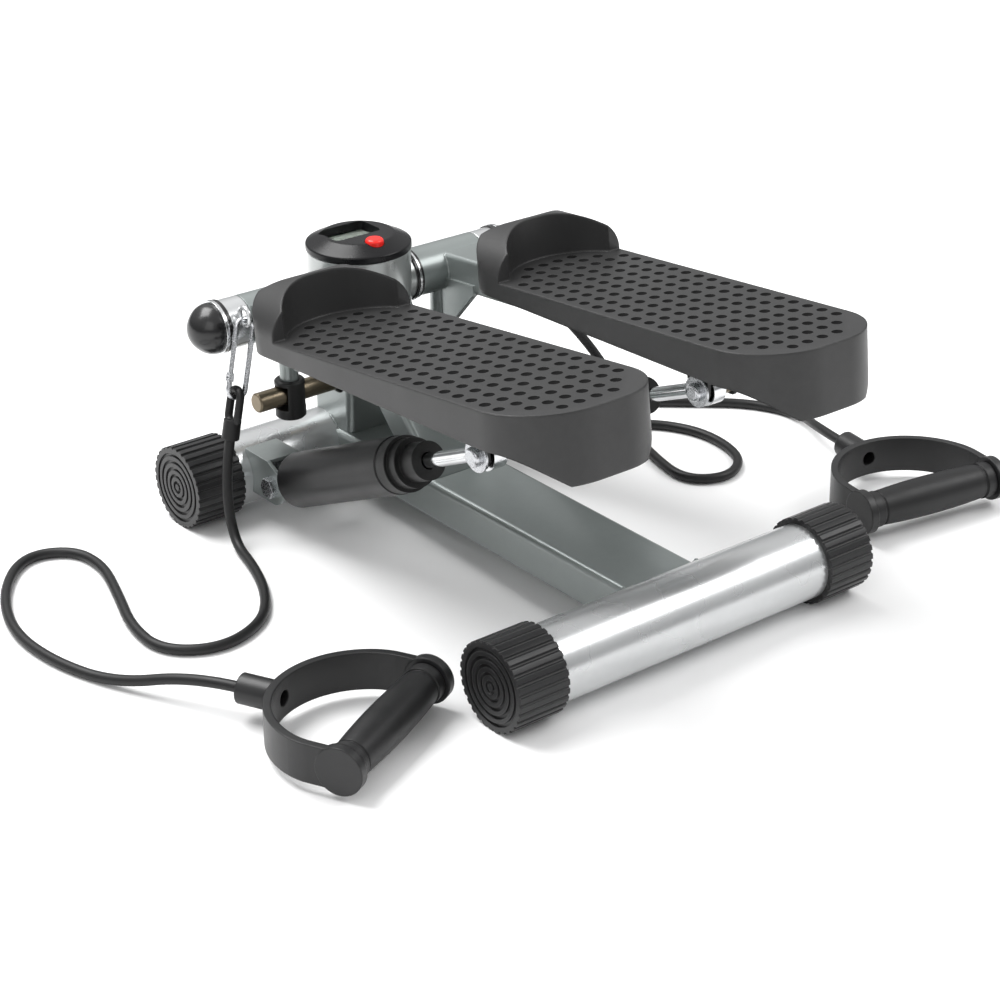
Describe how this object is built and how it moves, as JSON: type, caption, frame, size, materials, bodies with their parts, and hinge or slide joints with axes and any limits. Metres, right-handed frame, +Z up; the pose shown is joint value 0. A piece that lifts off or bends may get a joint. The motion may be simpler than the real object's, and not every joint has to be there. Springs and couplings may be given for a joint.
{
  "type": "mini stepper",
  "caption": "Low stepper whose paired pedals swing on one cross axle against slanted hydraulic cylinders, with a step counter and hand-held resistance cords.",
  "frame": {"origin": "on the floor, midway between the two base tubes, on the plane between the pedals", "axes": "+X to the user's right, +Y towards the toe end and the step counter, +Z up"},
  "size_m": [0.6314, 0.4118, 0.2041],
  "materials": {
    "axle_steel": "turned steel",
    "board": "green circuit board",
    "boot_black": "ringed rubber",
    "brown_steel": "oiled brownish steel",
    "button_red": "red plastic",
    "cap_black": "ribbed satin plastic",
    "cell": "stainless",
    "console_black": "glossy plastic",
    "cord_black": "matt rubber",
    "cylinder_black": "satin black paint",
    "dome_black": "smooth semi-gloss plastic",
    "grey_frame": "grey-teal silver paint, semi-gloss",
    "grip_black": "soft grip",
    "handle_black": "satin plastic",
    "housing_paint": "silver-grey paint, semi-gloss",
    "lcd": "grey-green display",
    "lens": "clear window",
    "link_black": "moulded rubber",
    "nylon": "white nylon",
    "pedal_grey": "charcoal satin plastic with a fine grain",
    "ring_silver": "bright trim",
    "rod_chrome": "polished",
    "silver_tube": "bright silver paint, semi-gloss",
    "zinc": "zinc plated"
  },
  "bodies": {
    "base": {"axle": "axle_steel", "axle_caps": "dome_black", "brace": "grey_frame", "button_cell": "cell", "circuit_board": "board", "console_cover": "console_black", "console_housing": "housing_paint", "cylinder_bolts": "zinc", "display_lens": "lens", "display_panel": "lcd", "front_post": "grey_frame", "front_tube": "silver_tube", "front_tube_caps": "cap_black", "left_anchor_collar": "silver_tube", "left_carabiner": "zinc", "left_cord": "cord_black", "left_cord_loop": "cord_black", "left_cylinder_bracket": "grey_frame", "left_handle_bow": "handle_black", "main_beam": "grey_frame", "rear_tube": "silver_tube", "rear_tube_caps": "cap_black", "right_anchor_collar": "silver_tube", "right_carabiner": "zinc", "right_cord": "cord_black", "right_cord_loop": "cord_black", "right_cylinder_bracket": "grey_frame", "right_handle_bow": "handle_black", "rocker_nut": "zinc", "rocker_pivot": "zinc", "spacer_rings": "dome_black", "trim_rings": "ring_silver"},
    "rocker": {"rocker_bar": "brown_steel"},
    "button": {"reset_button": "button_red"},
    "left_arm": {"left_pedal_arm": "grey_frame", "left_arm_bushes": "nylon", "left_pedal": "pedal_grey", "left_pedal_screws": "zinc", "left_rod_bracket": "cylinder_black", "left_rod_bolt": "zinc", "left_rod_spacer": "brown_steel"},
    "left_link": {"left_link_block": "link_black"},
    "left_cylinder": {"left_cylinder_barrel": "cylinder_black", "left_dust_boot": "boot_black"},
    "left_rod": {"left_piston_rod": "rod_chrome"},
    "left_grip": {"left_handle_grip": "grip_black"},
    "left_gate": {"left_carabiner_gate": "zinc"},
    "right_arm": {"right_pedal_arm": "grey_frame", "right_arm_bushes": "nylon", "right_pedal": "pedal_grey", "right_pedal_screws": "zinc", "right_rod_bracket": "cylinder_black", "right_rod_bolt": "zinc", "right_rod_spacer": "brown_steel"},
    "right_link": {"right_link_block": "link_black"},
    "right_cylinder": {"right_cylinder_barrel": "cylinder_black", "right_dust_boot": "boot_black"},
    "right_rod": {"right_piston_rod": "rod_chrome"},
    "right_grip": {"right_handle_grip": "grip_black"},
    "right_gate": {"right_carabiner_gate": "zinc"}
  },
  "joints": [
    {"name": "left_arm_pivot", "type": "hinge", "parent": "base", "child": "left_arm", "pos_m": [0, 0.161, 0.1425], "axis": [-1, 0, 0], "range_deg": [-9.8, 8.2]},
    {"name": "right_arm_pivot", "type": "hinge", "parent": "base", "child": "right_arm", "pos_m": [0, 0.161, 0.1425], "axis": [-1, 0, 0], "range_deg": [-8.2, 9.8]},
    {"name": "rocker_yaw", "type": "hinge", "parent": "base", "child": "rocker", "pos_m": [0, 0.156, 0.082], "axis": [0, 0, 1], "range_deg": [-9.3, 7.9]},
    {"name": "left_link_swivel", "type": "hinge", "parent": "left_arm", "child": "left_link", "pos_m": [-0.065, 0.15516, 0.08208], "axis": [0, 0.014, 0.9999], "range_deg": [-9.3, 7.9]},
    {"name": "left_cylinder_pivot", "type": "hinge", "parent": "base", "child": "left_cylinder", "pos_m": [-0.0895, 0.124, 0.0335], "axis": [1, 0, 0], "range_deg": [-8, 9.5]},
    {"name": "left_rod_slide", "type": "slide", "parent": "left_cylinder", "child": "left_rod", "axis": [0, -0.9081, 0.4188], "range_m": [-0.0199, 0.0167]},
    {"name": "left_grip_spin", "type": "hinge", "parent": "base", "child": "left_grip", "pos_m": [-0.209, -0.154, 0.019], "axis": [0.8942, 0.4478, 0], "continuous": true},
    {"name": "left_gate_hinge", "type": "hinge", "parent": "base", "child": "left_gate", "pos_m": [-0.1235, 0.13629, 0.1175], "axis": [0, 0.9946, -0.1039], "range_deg": [0, 20], "stiffness_Nm_per_rad": 0.05, "springref_deg": -22.92},
    {"name": "right_link_swivel", "type": "hinge", "parent": "right_arm", "child": "right_link", "pos_m": [0.065, 0.15685, 0.08194], "axis": [0, -0.014, 0.9999], "range_deg": [-9.3, 7.9]},
    {"name": "right_cylinder_pivot", "type": "hinge", "parent": "base", "child": "right_cylinder", "pos_m": [0.0895, 0.124, 0.0335], "axis": [1, 0, 0], "range_deg": [-9.5, 7.9]},
    {"name": "right_rod_slide", "type": "slide", "parent": "right_cylinder", "child": "right_rod", "axis": [0, -0.9189, 0.3944], "range_m": [-0.0167, 0.0199]},
    {"name": "right_grip_spin", "type": "hinge", "parent": "base", "child": "right_grip", "pos_m": [0.2559, -0.145, 0.019], "axis": [0.9863, -0.165, 0], "continuous": true},
    {"name": "right_gate_hinge", "type": "hinge", "parent": "base", "child": "right_gate", "pos_m": [0.13542, 0.13709, 0.12724], "axis": [0, -0.9937, 0.1117], "range_deg": [0, 20], "stiffness_Nm_per_rad": 0.05, "springref_deg": -22.92},
    {"name": "reset_press", "type": "slide", "parent": "base", "child": "button", "axis": [0, 0, -1], "range_m": [0, 0.0012], "stiffness_N_per_m": 400, "springref_m": -0.0005}
  ],
  "couplings": [
    {"joint": "right_arm_pivot", "follows": "left_arm_pivot", "ratio": -1},
    {"joint": "rocker_yaw", "follows": "left_arm_pivot", "ratio": 0.93077},
    {"joint": "left_link_swivel", "follows": "left_arm_pivot", "ratio": 0.93077},
    {"joint": "left_cylinder_pivot", "follows": "left_arm_pivot", "ratio": -0.96142},
    {"joint": "left_rod_slide", "follows": "left_arm_pivot", "m_per_rad": 0.11445},
    {"joint": "right_link_swivel", "follows": "left_arm_pivot", "ratio": 0.93077},
    {"joint": "right_cylinder_pivot", "follows": "left_arm_pivot", "ratio": 0.9557},
    {"joint": "right_rod_slide", "follows": "left_arm_pivot", "m_per_rad": -0.11431}
  ]
}
